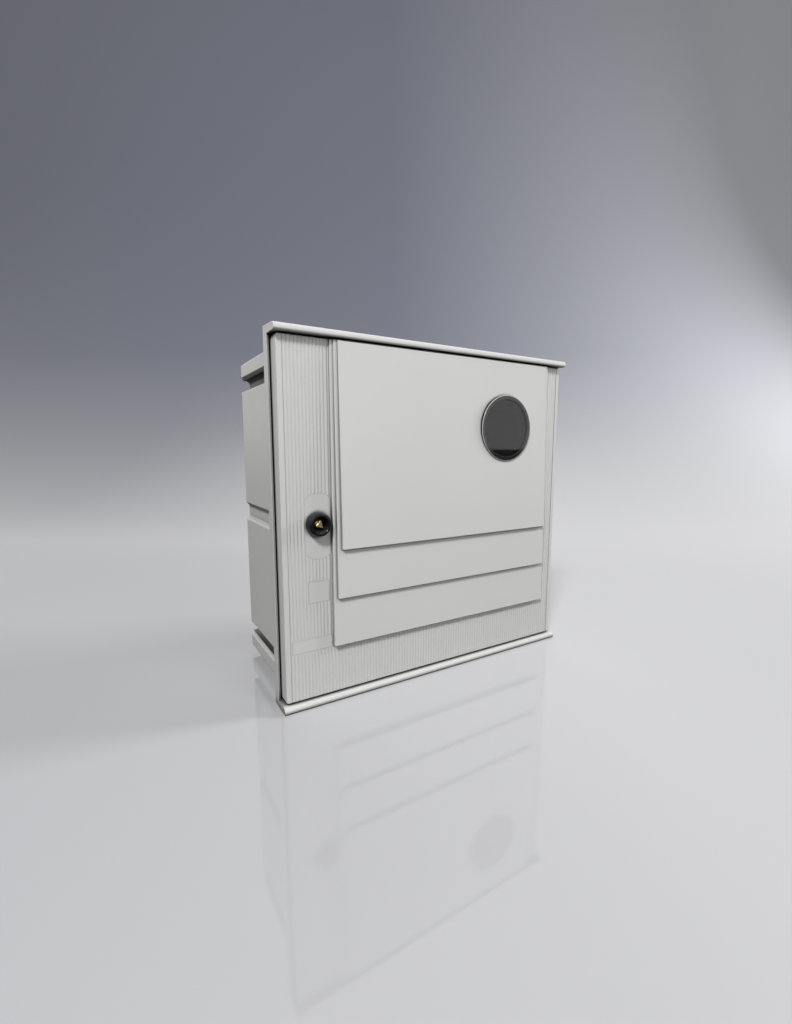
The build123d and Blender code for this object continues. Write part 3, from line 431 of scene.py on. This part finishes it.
def window_lens():
    """The lens: clear disc, flat rim, rounded edge painted light grey as a painted highlight for the light a
    clear edge gathers, wall painted near-black as painted shade, round skirt behind.
    """
    low, high = (Vector(corner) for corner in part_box("window_lens"))
    centre = ((low.x + high.x) / 2, low.y, (low.z + high.z) / 2)
    radius = (high.x - low.x) / 2
    depth = high.y - low.y
    rim_inside = radius - LENS_RIM_W
    skirt = radius - LENS_SKIRT_INSET
    skirt_inside = skirt - LENS_SKIRT_T
    glass, rim, edge, wall = range(4)
    profile = [(0, LENS_SUNK, glass), (rim_inside - LENS_SUNK, LENS_SUNK, rim), (rim_inside, 0, rim)]
    for step in range(LENS_EDGE_STEPS + 1):
        turn = math.pi / 2 * step / LENS_EDGE_STEPS
        reach = radius - LENS_EDGE_R * (1 - math.sin(turn))
        sunk = LENS_EDGE_R * (1 - math.cos(turn))
        profile.append((reach, sunk, edge if step < LENS_EDGE_STEPS else wall))
    profile += [
        (radius, LENS_T, wall), (skirt, LENS_T, wall), (skirt, depth, wall),
        (skirt_inside, depth, wall), (skirt_inside, LENS_T, glass), (0, LENS_T, glass)]
    finishes = (LENS, LENS_RIM, LENS_EDGE_PAINTED_HIGHLIGHT, LENS_WALL_PAINTED_SHADE)
    lens = turned_object("window_lens_clear", centre, profile, finishes, (glass, rim))
    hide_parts("window_lens")
    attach(lens, "door")


def studio_floor():
    """One pale sheet: level under the part, then curved up into a backdrop far behind.

    Its colour changes from left to right and up the backdrop: the floor is darkened on the left and on the
    right as painted shade, and the backdrop is painted darker on the left and lighter on the right as
    painted light. Light that it throws on the part comes from a darker colour.
    """
    shader = Shader("studio_sheet", Specular_IOR_Level=0.7)
    cloud = shader.ramp(shader.noise(1.2), 0.3, 0.7)
    yaw = math.radians(CAMERA_YAW)
    ahead = Vector((math.sin(yaw), math.cos(yaw), 0))
    aside = Vector((math.cos(yaw), -math.sin(yaw), 0))
    pale = shader.mix(cloud, *FLOOR_CLOUDS)
    # Painted shade: the floor darkened towards the left and towards the right.
    pale = shader.mix(shader.along(aside, *FLOOR_LEFT_SHADE_SPAN), FLOOR_LEFT_PAINTED_SHADE, pale)
    pale = shader.mix(shader.along(aside, *FLOOR_RIGHT_SHADE_SPAN), pale, FLOOR_RIGHT_PAINTED_SHADE)
    # The backdrop's bluish grey, with painted light making it lighter to the right.
    dim = shader.mix(shader.along(aside, *BACKDROP_PAINTED_LIGHT_SPAN), BACKDROP_TINT_PAINTED_SHADE_LEFT, BACKDROP_TINT_PAINTED_LIGHT_RIGHT)
    pale = shader.mix(shader.along((0, 0, 1), FLOOR_Z, FLOOR_Z + BACKDROP_RISE), pale, dim)
    shader.colour(shader.mix(shader.seen(), FLOOR_UNSEEN, pale))
    shader.roughness(shader.ramp(shader.noise(0.4), 0.3, 0.7, 0.03, 0.05))
    profile = [(-FLOOR_REACH, 0.0), (BACKDROP_FROM, 0.0)]
    for step in range(1, BACKDROP_STEPS + 1):
        turn = math.pi / 2 * step / BACKDROP_STEPS
        reach = BACKDROP_FROM + BACKDROP_BEND * math.sin(turn)
        profile.append((reach, BACKDROP_BEND * (1 - math.cos(turn))))
    profile.append((BACKDROP_FROM + BACKDROP_BEND, BACKDROP_TOP))
    vertices = []
    for reach, rise in profile:
        for side in (-FLOOR_REACH, FLOOR_REACH):
            vertices.append(ahead * reach + aside * side + Vector((0, 0, FLOOR_Z + rise)))
    faces = [(i, i + 1, i + 3, i + 2) for i in range(0, len(vertices) - 2, 2)]
    floor = mesh_object("studio_floor", vertices, faces, shader.material)
    for face in floor.data.polygons:
        face.use_smooth = True
    floor.visible_glossy = False


def lamp(name, direction, distance, size, power, mirrored):
    """A soft square lamp that looks at the origin and that the camera doesn't see."""
    data = bpy.data.lights.new(name, "AREA")
    data.size = size
    data.energy = power
    item = bpy.data.objects.new(name, data)
    away = Vector(direction).normalized()
    item.location = away * distance
    item.rotation_mode = "QUATERNION"
    item.rotation_quaternion = away.to_track_quat("Z", "Y")
    item.visible_glossy = mirrored
    item.visible_camera = False
    bpy.context.collection.objects.link(item)


def studio_world():
    """Dim even light; reflections find it bright above the horizon and dark below.

    Beyond the edges of the floor and backdrop the camera sees a plain grey.
    """
    world = bpy.data.worlds.new("studio_world")
    world.use_nodes = True
    tree = world.node_tree
    tree.nodes.clear()
    output = tree.nodes.new("ShaderNodeOutputWorld")
    direction = tree.nodes.new("ShaderNodeTexCoord")
    parts = tree.nodes.new("ShaderNodeSeparateXYZ")
    tree.links.new(direction.outputs["Generated"], parts.inputs["Vector"])
    skies = []
    for below, above in (SOFT_SKY, MIRRORED_SKY):
        horizon = tree.nodes.new("ShaderNodeMapRange")
        horizon.inputs["From Min"].default_value = -HORIZON_BLEND
        horizon.inputs["From Max"].default_value = HORIZON_BLEND
        horizon.inputs["To Min"].default_value = below
        horizon.inputs["To Max"].default_value = above
        sky = tree.nodes.new("ShaderNodeBackground")
        tree.links.new(parts.outputs["Z"], horizon.inputs["Value"])
        tree.links.new(horizon.outputs["Result"], sky.inputs["Color"])
        skies.append(sky)
    beyond = tree.nodes.new("ShaderNodeBackground")
    beyond.inputs["Color"].default_value = (*BEYOND_GREY, 1.0)
    path = tree.nodes.new("ShaderNodeLightPath")
    soft, mirrored = skies
    shown = soft.outputs["Background"]
    for ray, background in (("Is Glossy Ray", mirrored), ("Is Camera Ray", beyond)):
        switch = tree.nodes.new("ShaderNodeMixShader")
        tree.links.new(path.outputs[ray], switch.inputs["Fac"])
        tree.links.new(shown, switch.inputs[1])
        tree.links.new(background.outputs["Background"], switch.inputs[2])
        shown = switch.outputs["Shader"]
    tree.links.new(shown, output.inputs["Surface"])
    bpy.context.scene.world = world


def photo_camera():
    """The camera at the photograph's place."""
    data = bpy.data.cameras.new("photo_camera")
    data.lens = CAMERA_LENS
    data.clip_end = CAMERA_REACH
    item = bpy.data.objects.new("photo_camera", data)
    item.location = CAMERA_PLACE
    item.rotation_euler = (math.radians(90 - CAMERA_PITCH), 0, math.radians(-CAMERA_YAW))
    bpy.context.collection.objects.link(item)
    bpy.context.scene.camera = item


for finish, nodes in FINISHES.items():
    for node in nodes:
        dress(node, finish)

window_lens()
studio_floor()
studio_world()
for name, settings in LAMPS.items():
    lamp(name, **settings)
photo_camera()
bpy.context.scene.view_settings.view_transform = "Standard"
